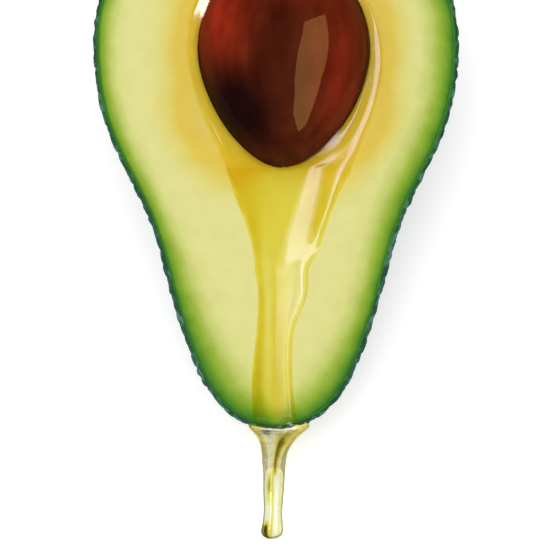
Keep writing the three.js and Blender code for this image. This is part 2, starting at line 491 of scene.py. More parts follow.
@dataclass(frozen=True)
class SeedFinish:
    """Smooth wet seed coat, red-brown with darker streaks that run to its pointed end."""

    brown: Colour = (96, 41, 21)
    # red is the seed's own red and, on the upper left, also painted light; dark is painted shade
    # on the lower left
    red: Colour = (174, 52, 28)
    dark: Colour = (36, 15, 15)
    # painted shade: the darker red-brown of the ring where the seed meets the cut face
    edge: Colour = (84, 28, 18)

    def material(self) -> bpy.types.Material:
        """Makes the material; the mesh holds red, dark and edge shares from 0 to 1. The edge share
        is painted shade, and the red and dark shares hold painted light and shade in places.

        Returns:
            The material.
        """
        n = Nodes("seed_wet")
        streak = n.noise(0.32, 4.0, n.stretched((1.0, 0.22, 1.0)))
        cloud = n.noise(0.09, 3.0)
        colour = n.mix(n.value("red"), linear(self.brown), linear(self.red))
        # painted shade on the ring where the seed meets the cut face
        colour = n.mix(n.value("edge"), colour, linear(self.edge))
        colour = n.mix(n.value("dark"), colour, linear(self.dark))
        tone = n.ramp(streak, [(0.3, (205, 200, 195)), (0.65, grey(255))])
        colour = n.mix(1.0, colour, tone, "MULTIPLY")
        tone = n.ramp(cloud, [(0.3, (215, 205, 200)), (0.7, grey(255))])
        colour = n.mix(1.0, colour, tone, "MULTIPLY")
        normal = n.bump(streak, 0.03)
        shader = n.add(
            "BsdfPrincipled",
            {
                "Base Color": colour,
                "Roughness": 0.5,
                "IOR": 1.4,
                "Specular IOR Level": 0.0,
                "Coat Weight": 0.08,
                "Coat Roughness": 0.02,
                "Coat IOR": 1.47,
                "Normal": normal,
            },
        )
        return n.finish(shader)


@dataclass(frozen=True)
class OilFinish:
    """Clear golden oil, deeper in colour where it is thick. On the stream and the trickle the
    depth of colour is partly painted light: darker edges and lines for the light that the oil
    bends, and a paler terrace under a reflection. Lamps shine through it.

    Where the mesh's veil is above 0, that share of the light passes without bending.
    """

    clear: Colour = (254, 252, 240)
    thin: Colour = (252, 246, 200)
    middle: Colour = (246, 238, 148)
    thick: Colour = (236, 219, 90)
    # deep also colours the painted dark lines and spots on the trickle
    deep: Colour = (104, 92, 28)
    lying: Colour = (234, 238, 247)  # what dims the trickle where it lies on the bright floor

    def material(self) -> bpy.types.Material:
        """Makes the material; the mesh holds the depth of colour in millimetres of oil, partly
        painted light, and veil and lying.

        Returns:
            The material.
        """
        n = Nodes("oil_golden")
        stops = [
            (0.0, self.clear),
            (0.3, self.thin),
            (1.0, self.middle),
            (2.0, self.thick),
            (3.5, self.deep),
        ]
        colour = n.ramp(n.value("thickness"), stops, span=stops[-1][0])
        colour = n.mix(n.value("lying"), colour, linear(self.lying), "MULTIPLY")
        clear = n.add(
            "BsdfPrincipled",
            {
                "Base Color": colour,
                "Roughness": 0.14,
                "IOR": 1.47,
                "Transmission Weight": 1.0,
            },
        )
        through_it = n.add("BsdfTransparent", {"Color": colour})
        shadow = n.add("LightPath").outputs["Is Shadow Ray"]
        straight = n.maths("MAXIMUM", shadow, n.value("veil"))
        both = n.add("MixShader", {0: straight, 1: clear.outputs[0], 2: through_it.outputs[0]})
        return n.finish(both)


# ---------------------------------------------------------------------------------------------
# The fruit's shape
# ---------------------------------------------------------------------------------------------

ROUND = 0.5523  # handle length of a cubic that follows a quarter circle


@dataclass(frozen=True)
class Fruit:
    """The half's outline and how it lies. Millimetres."""

    bulb_radius: float = 36.5
    blossom_length: float = 33.0
    stem_length: float = 77.5
    neck_distance: float = 44.5
    neck_radius: float = 22.6
    neck_taper: float = 0.25  # how much narrower it gets there for each millimetre down
    tip_handle: float = 0.73  # share of the way from the neck to the stem end
    tip_round: float = 0.53  # share of the neck's radius
    neck_handle: float = 0.45  # share of the neck's distance
    belly_handle: float = 0.5  # share of the neck's distance
    back_depth: float = 35.0
    skin_thickness: float = 1.2
    tilt: float = math.radians(13)
    flat_depth: float = 0.7

    @property
    def depth_share(self) -> float:
        """Depth of the back for each millimetre of radius."""
        return self.back_depth / self.bulb_radius

    def outline(self, steps: int = 120) -> np.ndarray:
        """The half outline as rows of (distance from the axis, y), from the stem end up.

        Args:
            steps: Stretches in each of its three curves.

        Returns:
            The rows.
        """
        neck = np.array([self.neck_radius, -self.neck_distance])
        down = np.array([-self.neck_taper, -1.0])
        down /= np.hypot(*down)
        radius, dome = self.bulb_radius, self.blossom_length
        tip_handle = neck + down * self.tip_handle * (self.stem_length - self.neck_distance)
        end = (0, -self.stem_length)
        end_handle = (self.tip_round * self.neck_radius, -self.stem_length)
        neck_handle = neck - down * self.neck_handle * self.neck_distance
        belly_handle = (radius, -self.belly_handle * self.neck_distance)
        stem = bezier([end, end_handle, tip_handle, neck], steps)
        belly = bezier([neck, neck_handle, belly_handle, (radius, 0)], steps)
        blossom = bezier(
            [(radius, 0), (radius, dome * ROUND), (radius * ROUND, dome), (0, dome)], steps
        )
        return np.vstack([stem, belly[1:], blossom[1:]])

    def place(self, rest: Vector) -> Matrix:
        """The fruit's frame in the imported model's frame.

        Args:
            rest: The middle of the flat spot that the half lies on, in metres.

        Returns:
            A matrix from the fruit's millimetres to the model's metres.
        """
        turn = Matrix.Rotation(self.tilt, 4, "X")
        outline = self.outline(200)
        back = [turn @ Vector((0, y, -r * self.depth_share)) for r, y in outline]
        lowest = min(back, key=lambda p: p.z)
        shift = Matrix.Translation((0, -lowest.y, -lowest.z - self.flat_depth))
        return Matrix.Translation(rest) @ Matrix.Scale(MM, 4) @ shift @ turn


def even(line: np.ndarray, steps: int) -> np.ndarray:
    """Samples a line again at equal distances along it.

    Args:
        line: Rows of coordinates.
        steps: How many stretches to cut it into.

    Returns:
        One row for each of steps + 1 points.
    """
    lengths = np.hypot(*np.diff(line[:, :2], axis=0).T)
    at = np.concatenate([[0], np.cumsum(lengths)])
    want = np.linspace(0, at[-1], steps + 1)
    return np.stack([np.interp(want, at, line[:, k]) for k in range(line.shape[1])], axis=1)


def moved_out(line: np.ndarray, distance: float | np.ndarray) -> np.ndarray:
    """Moves a half outline along its normals, outwards if distance is positive.

    Args:
        line: Rows of (radius, y), from the stem end to the blossom end.
        distance: How far, one number or one for each row.

    Returns:
        The moved rows, with both ends on the axis.
    """
    along = np.gradient(line, axis=0)
    along[0], along[-1] = (1, 0), (-1, 0)
    along /= np.hypot(along[:, 0], along[:, 1])[:, None]
    normal = np.stack([along[:, 1], -along[:, 0]], axis=1)
    out = line + normal * np.reshape(distance, (-1, 1))
    out[0, 0] = out[-1, 0] = 0
    return out


@dataclass(frozen=True)
class GreenBand:
    """The green band of flesh under the skin. Its widths are shares of a narrow one."""

    left: float = 1.08
    left_gain: float = 0.5  # towards the stem end
    right: float = 1.65
    right_loss: float = 0.25  # towards the stem end
    stem_gain: float = 0.5
    oil_loss: float = 0.9  # where the stream covers it

    def width(self, points: np.ndarray) -> np.ndarray:
        """How wide it is.

        Args:
            points: Rows of (x, y) on the cut face.

        Returns:
            One share for each point.
        """
        x, y = points.T
        left = self.left + self.left_gain * smoothstep(-y, 30, 55)
        right = self.right - self.right_loss * smoothstep(-y, 20, 50)
        stem = self.stem_gain * smoothstep(-y, 50, 70)
        covered = self.oil_loss * hump(x - 0.2, 2.8) * smoothstep(-y, 52, 68)
        return left + (right - left) * smoothstep(x, -8, 12) + stem - covered


@dataclass
class Skin:
    """The pebbled skin of the half. Millimetres."""

    fruit: Fruit
    rows: int = 330
    turns: int = 250
    pebble_size: float = 2.8
    pebble_height: float = 0.6
    pebble_level: float = 0.62  # share of a pebble's height that lies under the plain surface
    fine_size: float = 0.52  # of the small bumps, as a share of the pebbles'
    fine_height: float = 0.25  # of the small bumps, as a share of the pebbles'
    cut_inset: float = 0.3  # how far the cut edge lies inside the fullest part of the skin
    stem_inset: float = 0.5  # how much farther it does so towards the stem end
    stem_range: tuple[float, float] = (15.0, 50.0)  # where that starts and is whole
    bulge_depth: float = 2.6  # how far under the cut the skin is fullest
    bulge_level: float = 0.7  # share of the inset that stays under the plain surface
    back_from: float = 20.0  # how far under the cut the bulge has gone
    glint_fade_range: tuple[float, float] = (1.5, 5.0)  # how far under the cut the painted glints fade
    draw: int = 1  # picks how the pebbles are bent, which is then the same in each run

    def pebbles(self, points: np.ndarray) -> np.ndarray:
        """Heights of the pebbles, from 0 in the grooves to 1.

        Args:
            points: Rows of places in the fruit's frame.

        Returns:
            One height for each point.
        """
        noise.seed_set(self.draw)
        heights = np.empty(len(points))
        for i, point in enumerate(points):
            p = Vector(point)
            bent = p + 0.7 * noise.noise_vector(p * 0.35)
            coarse, _ = noise.voronoi(bent / self.pebble_size)
            fine, _ = noise.voronoi(bent / (self.fine_size * self.pebble_size))
            dome = min((coarse[1] - coarse[0]) / 0.55, 1.0)
            small = min((fine[1] - fine[0]) / 0.6, 1.0)
            swell = 0.5 + 0.5 * noise.noise(p * 0.22)
            round_top = math.sin(dome * math.pi / 2)
            heights[i] = round_top * (0.55 + 0.45 * swell) + self.fine_height * small
        return heights / (1 + self.fine_height)

    def build(self, place: Matrix) -> bpy.types.Object:
        """Builds the skin.

        Args:
            place: The fruit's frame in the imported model's.

        Returns:
            The piece.
        """
        fruit = self.fruit
        line = even(fruit.outline(), self.rows)
        turn = np.linspace(0, math.pi, self.turns + 1)
        plain = self.swept(line, turn)
        normal = self.normals(plain)
        height = self.pebbles(plain.reshape(-1, 3)).reshape(plain.shape[:2])
        under = -plain[..., 2]
        inset = self.cut_inset + self.stem_inset * smoothstep(-plain[..., 1], *self.stem_range)
        full = inset * (smoothstep(under, 0, self.bulge_depth) - self.bulge_level)
        full -= 0.5 * self.cut_inset * smoothstep(under, 3 * self.bulge_depth, self.back_from)
        rise = full + self.pebble_height * (height - self.pebble_level)
        outer = plain + normal * rise[..., None]
        outer[:, 0, 2] = outer[:, -1, 2] = 0
        outer[0] = outer[0].mean(0)
        outer[-1] = outer[-1].mean(0)
        self.flatten(outer)
        inner = self.swept(moved_out(line, -fruit.skin_thickness), turn)
        inner[:, 0, 2] = inner[:, -1, 2] = 0
        surface = Surface("skin_pebbled")
        # lip: where the painted glints show, 1 at the cut and 0 deeper down
        lip = 1 - smoothstep(under, *self.glint_fade_range)
        surface.grid(outer, flip=True, pebble=height, lip=lip)
        whole = np.ones(plain.shape[:2])
        surface.grid(inner, cut=whole, skin_depth=whole)
        for side in (0, -1):
            rim = np.stack([outer[:, side], inner[:, side]], axis=1)
            band = GreenBand().width(outer[:, side, :2])
            depth = np.stack([0 * band, fruit.skin_thickness / band], axis=1)
            surface.grid(rim, flip=side != 0, cut=np.ones(depth.shape), skin_depth=depth)
        made = surface.make(place)
        made.data.materials.append(SkinFinish().material())
        stand_in(made, Slot.SKIN, "skin")
        return made

    def swept(self, line: np.ndarray, turn: np.ndarray) -> np.ndarray:
        """Turns a half outline about the fruit's axis, flattened to the half's depth.

        Args:
            line: Rows of (radius, y).
            turn: Angles, 0 at the right edge of the cut face and pi at its left edge.

        Returns:
            A grid of points, with a row for each row of the line.
        """
        x = line[:, :1] * np.cos(turn)
        z = -line[:, :1] * np.sin(turn) * self.fruit.depth_share
        y = np.repeat(line[:, 1:], len(turn), axis=1)
        return np.stack([x, y, z], axis=-1)

    def normals(self, points: np.ndarray) -> np.ndarray:
        """Outward unit normals of a turned grid.

        Args:
            points: The grid.

        Returns:
            One normal for each point.
        """
        along = np.gradient(points, axis=0)
        across = np.gradient(points, axis=1)
        normal = np.cross(across, along)
        length = np.linalg.norm(normal, axis=-1, keepdims=True)
        normal = normal / np.maximum(length, 1e-9)
        normal[0], normal[-1] = (0, -1, 0), (0, 1, 0)
        return normal

    def flatten(self, points: np.ndarray) -> None:
        """Presses the flat spot into the back, so that nothing reaches under the surface.

        Args:
            points: The grid, which is changed.
        """
        fruit = self.fruit
        lift = np.array(fruit.place(Vector((0, 0, 0)))) / MM
        height = points @ lift[2, :3] + lift[2, 3]
        sunk = np.minimum(height, 0)
        points -= sunk[..., None] * lift[2, :3]


@dataclass(frozen=True)
class Egg:
    """The seed's outline. Millimetres."""

    radius: float = 16.9
    blossom_length: float = 19.0
    stem_length: float = 23.6
    x: float = 1.5
    y: float = -1.7
    point_round: float = 0.46  # handle at the pointed end, as a share of the radius
    side_handle: float = 0.42  # handle at the side, as a share of the pointed end's length

    def outline(self, steps: int = 120) -> np.ndarray:
        """Half outline as rows of (distance from its axis, y), from the pointed end up.

        Args:
            steps: Stretches in each of its two curves.

        Returns:
            The rows.
        """
        r, low, high = self.radius, self.stem_length, self.blossom_length
        point, side = (self.point_round * r, -low), (r, -self.side_handle * low)
        pointed = bezier([(0, -low), point, side, (r, 0)], steps)
        blunt = bezier([(r, 0), (r, ROUND * high), (ROUND * r, high), (0, high)], steps)
        return np.vstack([pointed, blunt[1:]]) + (0, self.y)

    def edge(self, angles: np.ndarray, growth: float = 0.0) -> np.ndarray:
        """The right half of its edge in the cut plane, relative to its axis.

        Args:
            angles: 0 at the blossom end to pi at the pointed end.
            growth: How far to move the edge outwards.

        Returns:
            Rows of (distance from its axis, y).
        """
        line = moved_out(self.outline(160), growth)[::-1]
        at = np.arctan2(line[:, 0], line[:, 1] - self.y)
        at[0], at[-1] = 0, math.pi
        return np.stack([np.interp(angles, at, line[:, k]) for k in (0, 1)], axis=1)


@dataclass
class Flesh:
    """The flesh: a cut face with the seed's hollow, and the back that the skin covers."""

    fruit: Fruit
    egg: Egg
    around: int = 460
    across: int = 56
    clearance: float = 0.06
    dish: float = 0.25  # how far the cut face sinks between the skin and the seed
    rim_drop: float = 0.2  # how far it sinks at the skin
    hollow_drop: float = 0.12  # how far it sinks at the seed
    swell_size: float = 0.06  # swells of the cut face to the millimetre
    gold_shift: float = 3.2  # how much farther the gold reaches beside the seed's pointed end
    pale_shift: float = 9.0  # how much less far it reaches right below that end
    plain_depth: float = 12.0  # a distance from skin or seed at which it colours nothing

    def rim(self) -> np.ndarray:
        """The whole outline of the cut face.

        Returns:
            Rows of (x, y), from the stem end round by the right side and back.
        """
        half = moved_out(self.fruit.outline(), -self.fruit.skin_thickness)
        right = even(half, self.around // 2)
        left = right[::-1] * (-1, 1)
        return np.vstack([right, left[1:]])

    def build(self, place: Matrix) -> bpy.types.Object:
        """Builds the flesh.

        Args:
            place: The fruit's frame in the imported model's.

        Returns:
            The piece.
        """
        fruit, egg = self.fruit, self.egg
        rim = self.rim()
        angle = np.arctan2(np.abs(rim[:, 0] - egg.x), rim[:, 1] - egg.y)
        hole = egg.edge(angle, self.clearance)
        hole[:, 0] = egg.x + np.sign(rim[:, 0] - egg.x) * hole[:, 0]
        share = np.linspace(0, 1, self.across + 1)
        share = 0.5 - 0.5 * np.cos(np.pi * share)
        flat = hole[:, None] + (rim - hole)[:, None] * share[None, :, None]
        places = flat.reshape(-1, 2)
        skin = distance_to(places, rim)
        seed = distance_to(places, hole)
        middle = smoothstep(skin, 0, 5) * smoothstep(seed, 0, 4)
        spots = [Vector((*(place * self.swell_size), 3.1)) for place in places]
        swell = np.array([noise.noise(spot) for spot in spots])
        z = -self.dish * middle * (0.6 + 0.8 * swell)
        z -= self.rim_drop * (1 - smoothstep(skin, 0, 0.5))
        z -= self.hollow_drop * (1 - smoothstep(seed, 0, 0.7))
        face = np.concatenate([places, z[:, None]], axis=1).reshape(*flat.shape[:2], 3)
        depth = (skin + fruit.skin_thickness) / GreenBand().width(places)
        below = smoothstep(-places[:, 1], 16, 27) * hump(places[:, 0] - egg.x, 9)
        gold = seed - self.gold_shift * smoothstep(-places[:, 1], 6, 18) + self.pale_shift * below
        surface = Surface("flesh_half")
        surface.grid(face, flip=True, skin_depth=depth, seed_depth=gold)
        self.add_hollow(surface, face[:, 0])
        self.add_back(surface, face[:, -1])
        made = surface.make(place)
        made.data.materials.append(FleshFinish().material())
        stand_in(made, Slot.FLESH, "flesh")
        return made

    def add_hollow(self, surface: Surface, lip: np.ndarray) -> None:
        """Adds the seed's hollow, from the edge of the cut face down to its bottom.

        Args:
            surface: The mesh in the making.
            lip: The hollow's edge on the cut face.
        """
        middle = np.array([self.egg.x, self.egg.y, 0])
        turn = np.linspace(0, math.pi / 2, 25)
        out = (lip - middle) * (1, 1, 0)
        deep = np.array([0, 0, -self.egg.radius - self.clearance])
        bowl = middle + np.cos(turn)[None, :, None] * out[:, None]
        bowl = bowl + np.sin(turn)[None, :, None] * deep
        bowl[..., 2] += lip[:, None, 2] * np.cos(turn)
        surface.grid(bowl, skin_depth=np.full(bowl.shape[:2], self.plain_depth))

    def add_back(self, surface: Surface, rim: np.ndarray) -> None:
        """Adds the back, which lies against the inside of the skin.

        Args:
            surface: The mesh in the making.
            rim: The outline of the cut face.
        """
        half = len(rim) // 2
        right, left = rim[: half + 1], rim[half:][::-1]
        turn = np.linspace(0, math.pi, 60)[None, :, None]
        share = (1 - np.cos(turn)) / 2
        back = right[:, None] * (1 - share) + left[:, None] * share
        radius = np.abs(right[:, None, :1])
        deep = np.array([0, 0, -self.fruit.depth_share])
        back = back + radius * np.sin(turn) * deep
        surface.grid(back, flip=True, seed_depth=np.full(back.shape[:2], self.plain_depth))


@dataclass(frozen=True)
class Blush:
    """A soft spot of colour on the seed, from above. Millimetres from the seed's middle."""

    strength: float
    x: float
    y: float
    width: float
    length: float
    slant: float = 0.0  # radians that its width is turned away from x

    def share(self, u: np.ndarray, v: np.ndarray) -> np.ndarray:
        """How strong it is at places.

        Args:
            u: The places' x.
            v: The places' y.

        Returns:
            Its strength at each.
        """
        x, y = u - self.x, v - self.y
        along = math.cos(self.slant) * x - math.sin(self.slant) * y
        aside = math.sin(self.slant) * x + math.cos(self.slant) * y
        return self.strength * hump(along, self.width) * hump(aside, self.length)


@dataclass
class Seed:
    """The seed, standing half out of the cut face."""

    egg: Egg
    rows: int = 150
    turns: int = 200
    unevenness: float = 0.22
    # The first red spot, on the upper left, is the seed's own red made stronger as painted light;
    # the first dark spot, on the lower left, is painted shade.
    red: tuple[Blush, ...] = (
        Blush(1.0, -13.5, 7.0, 8.0, 11.0),
        Blush(0.5, 11.0, -3.0, 5.0, 14.0),
        Blush(0.5, 3.0, 11.0, 6.0, 3.0),
    )
    dark: tuple[Blush, ...] = (
        Blush(1.15, -9.3, -12.2, 10.0, 5.7, math.radians(50.3)),
        Blush(0.45, -3.0, 2.0, 6.0, 14.0),
    )
    edge: float = 0.7  # how dark the painted shade is on the ring where the seed meets the cut face
    edge_shade_height: float = 5.0  # above and below the cut face at which the painted shade ends

    def build(self, place: Matrix) -> bpy.types.Object:
        """Builds the seed.

        Args:
            place: The fruit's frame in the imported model's.

        Returns:
            The piece.
        """
        line = even(self.egg.outline(), self.rows)
        turn = np.linspace(0, 2 * math.pi, self.turns + 1)
        x = line[:, :1] * np.cos(turn)
        z = line[:, :1] * np.sin(turn)
        y = np.repeat(line[:, 1:], len(turn), axis=1)
        points = np.stack([x, y, z], axis=-1)
        out = points - (0, self.egg.y, 0)
        out /= np.linalg.norm(out, axis=-1, keepdims=True)
        lumps = [noise.fractal(Vector(p) * 0.055, 1.0, 2.0, 2) for p in points.reshape(-1, 3)]
        points += out * self.unevenness * np.reshape(lumps, points.shape[:2])[..., None]
        points[0], points[-1] = points[0].mean(0), points[-1].mean(0)
        points[:, -1] = points[:, 0]
        u, v, w = points[..., 0], points[..., 1] - self.egg.y, points[..., 2]
        # red and dark shares, with painted light on the upper left and painted shade on the lower
        # left
        red = np.clip(sum(spot.share(u, v) for spot in self.red), 0, 1)
        dark = np.clip(sum(spot.share(u, v) for spot in self.dark), 0, 1)
        # painted shade: darker near the cut face, less so where the red is
        edge = self.edge * (1 - smoothstep(np.abs(w), 0.5, self.edge_shade_height)) * (1 - 0.8 * red)
        surface = Surface("seed_whole")
        surface.grid(points + (self.egg.x, 0, 0), red=red, dark=dark, edge=edge)
        made = surface.make(place)
        made.data.materials.append(SeedFinish().material())
        stand_in(made, Slot.SEED, "seed")
        return made


# ---------------------------------------------------------------------------------------------
# The oil
# ---------------------------------------------------------------------------------------------


@dataclass(frozen=True)
class Section:
    """A cut across the stream on the cut face, at nine places. Millimetres.

    From left to right the places are the left edge, the left bead, the hollow beside it, the
    rise to the main rope, the rope, the brink of the slope on the right, the two sides of its
    terrace, and the right edge. depth says how deep the colour is: in part it follows the oil's
    thickness, and in part it is painted light, with darker golden lines at the edges for the light
    that the oil bends and a pale terrace on the right where a reflection falls.
    """

    y: float
    x: tuple[float, ...]
    height: tuple[float, ...]
    depth: tuple[float, ...]


@dataclass(frozen=True)
class ArmSection:
    """A cut across the oil beside the seed.

    outer is its outer edge. Each place after it is a share of the way from the seed to the
    outer edge, with the oil's height there, starting at the seed.
    """

    outer: tuple[float, float]
    places: tuple[tuple[float, float], ...]


@dataclass(frozen=True)
class FallSection:
    """A cut across the falling and lying oil. Millimetres.

    forward and drop are measured from the stem end's rim. left and right reach from the middle
    line to the edges, ropes and dip are the heights of its two ropes and of the hollow between
    them, and under is how thick it is on its other side.
    """

    forward: float
    drop: float
    middle: float
    left: float
    right: float
    ropes: float
    dip: float
    under: float


LEFT_ARM = (
    ArmSection((1.5, 18.4), ((0, 0.7), (0.3, 0.5), (0.55, 0.42), (0.8, 0.35))),
    ArmSection((-8.3, 15.2), ((0, 0.8), (0.3, 0.55), (0.55, 0.5), (0.8, 0.4))),
    ArmSection((-16.0, 8.4), ((0, 1.3), (0.3, 1.1), (0.55, 0.95), (0.8, 0.7))),
    ArmSection((-17.8, -1.7), ((0, 1.1), (0.3, 0.75), (0.55, 0.65), (0.8, 0.55))),
    ArmSection((-15.9, -11.8), ((0, 1.1), (0.3, 0.75), (0.55, 0.65), (0.8, 0.6))),
    ArmSection((-12.3, -20.3), ((0, 1.2), (0.3, 0.8), (0.6, 0.75), (0.82, 0.8))),
    ArmSection((-10.1, -25.2), ((0, 1.2), (0.36, 1.0), (0.72, 0.85), (0.89, 0.95))),
)
RIGHT_ARM = (
    ArmSection((1.5, 18.4), ((0, 0.7), (0.3, 0.5), (0.55, 0.42), (0.8, 0.35))),
    ArmSection((11.3, 15.2), ((0, 0.7), (0.3, 0.5), (0.55, 0.42), (0.8, 0.35))),
    ArmSection((18.6, 7.6), ((0, 0.9), (0.25, 0.45), (0.5, 0.44), (0.8, 0.4))),
    ArmSection((21.4, -2.5), ((0, 1.4), (0.25, 0.66), (0.45, 0.7), (0.85, 0.46))),
    ArmSection((20.2, -12.5), ((0, 1.5), (0.22, 0.72), (0.54, 0.76), (0.85, 0.52))),
    ArmSection((17.3, -20.5), ((0, 1.3), (0.3, 0.85), (0.6, 0.8), (0.85, 0.5))),
    ArmSection((15.4, -25.2), ((0, 1.2), (0.35, 1.35), (0.56, 0.8), (0.8, 0.72))),
)
# Each section's depth of colour is partly painted light: darker golden edges for the light that
# the oil bends, and a pale terrace under a reflection.
STREAM = (
    Section(
        -25.2,
        (-10.1, -8.9, -6.8, -2.7, 1.5, 6.4, 9.3, 12.6, 15.4),
        (0, 0.8, 0.9, 1.02, 1.2, 1.35, 0.8, 0.72, 0),
        (0.8, 1.8, 1.8, 1.3, 1.1, 1.0, 0.9, 0.9, 0.7),
    ),
    Section(
        -32.0,
        (-7.8, -6.6, -4.8, -2.4, 0.2, 4.3, 7.8, 10.7, 11.9),
        (0, 0.8, 0.9, 1.02, 1.2, 1.35, 0.7, 0.65, 0),
        (0.9, 1.9, 1.8, 1.3, 1.1, 1.0, 1.8, 1.5, 0.8),
    ),
    Section(
        -37.0,
        (-5.8, -5.1, -4.0, -2.4, -0.6, 2.8, 6.6, 9.0, 10.1),
        (0, 0.8, 0.9, 1.02, 1.2, 1.35, 0.63, 0.58, 0),
        (1.0, 2.0, 1.9, 1.2, 1.1, 1.0, 1.7, 1.4, 0.7),
    ),
    Section(
        -42.0,
        (-4.5, -4.0, -3.2, -2.3, -1.0, 1.7, 4.9, 7.0, 8.4),
        (0, 0.8, 0.92, 1.06, 1.22, 1.3, 0.72, 0.35, 0),
        (1.0, 1.9, 1.6, 0.6, 1.1, 0.6, 0.5, 0.5, 0.6),
    ),
    Section(
        -45.5,
        (-4.2, -3.6, -3.0, -2.0, -0.4, 0.9, 3.0, 5.4, 6.5),
        (0, 0.75, 0.9, 1.05, 1.15, 1.08, 0.9, 0.68, 0),
        (1.0, 1.5, 1.3, 0.5, 0.9, 0.5, 0.1, 0.1, 1.6),
    ),
    Section(
        -51.0,
        (-3.5, -3.2, -2.6, -1.6, -0.1, 0.8, 2.9, 5.2, 6.0),
        (0, 0.7, 0.9, 1.08, 1.16, 1.1, 0.95, 0.82, 0),
        (1.0, 1.9, 1.8, 0.2, 1.4, 0.4, 0.0, 0.0, 2.6),
    ),
    Section(
        -58.0,
        (-3.9, -3.4, -2.7, -1.7, -0.2, 0.8, 1.9, 2.8, 3.5),
        (0, 0.75, 0.95, 1.08, 1.14, 1.07, 0.98, 0.86, 0),
        (1.0, 1.9, 1.8, 0.3, 1.3, 1.0, 0.2, 0.5, 2.0),
    ),
    Section(
        -67.5,
        (-4.8, -4.0, -3.0, -1.9, -0.3, 0.8, 1.8, 2.6, 3.2),
        (0, 0.75, 0.92, 1.04, 1.1, 1.03, 0.94, 0.84, 0),
        (1.2, 2.2, 2.0, 0.5, 1.5, 1.5, 0.5, 1.4, 2.2),
    ),
    Section(
        -75.0,
        (-4.6, -3.7, -2.6, -1.6, -0.3, 1.0, 2.2, 3.2, 4.0),
        (0, 0.7, 0.85, 0.95, 1.0, 0.95, 0.87, 0.76, 0),
        (1.0, 1.8, 1.8, 0.9, 1.2, 1.4, 0.7, 1.4, 1.8),
    ),
)
FALL = (
    FallSection(-2.5, 0.0, -0.3, 4.3, 4.3, 0.8, 0.8, 0.1),
    FallSection(-0.6, 0.0, 0.1, 4.9, 5.2, 0.9, 0.6, 0.1),
    FallSection(0.4, 0.6, 0.3, 5.7, 6.3, 0.9, 0.4, 0.3),
    FallSection(1.5, 3.6, 0.1, 3.5, 3.7, 1.1, 0.3, 0.5),
    FallSection(2.9, 8.0, -0.2, 2.7, 2.6, 1.1, 0.35, 0.7),
    FallSection(4.2, 12.0, -0.4, 2.4, 2.4, 1.2, 0.5, 0.9),
    FallSection(6.0, 15.1, -0.4, 2.2, 2.2, 1.3, 1.0, 1.2),
    FallSection(9.2, 16.3, -0.5, 2.1, 2.1, 1.3, 1.3, 1.25),
    FallSection(13.0, 16.3, -0.6, 1.9, 1.9, 1.3, 1.35, 1.25),
    FallSection(16.4, 16.3, -0.7, 2.1, 2.1, 1.4, 1.45, 1.25),
    FallSection(19.2, 16.3, -0.9, 2.75, 2.75, 1.6, 1.65, 1.25),
)


@dataclass(frozen=True)
class Streak:
    """A line of deeper colour down the falling and lying oil: painted shade for the light that the
    oil bends.

    side is its place across, -1 at the left edge and 1 at the right, and width is in the same
    measure. It fades in between start and full, shares of the way from the rim to the tip.
    """

    strength: float
    side: float
    width: float
    start: float
    full: float


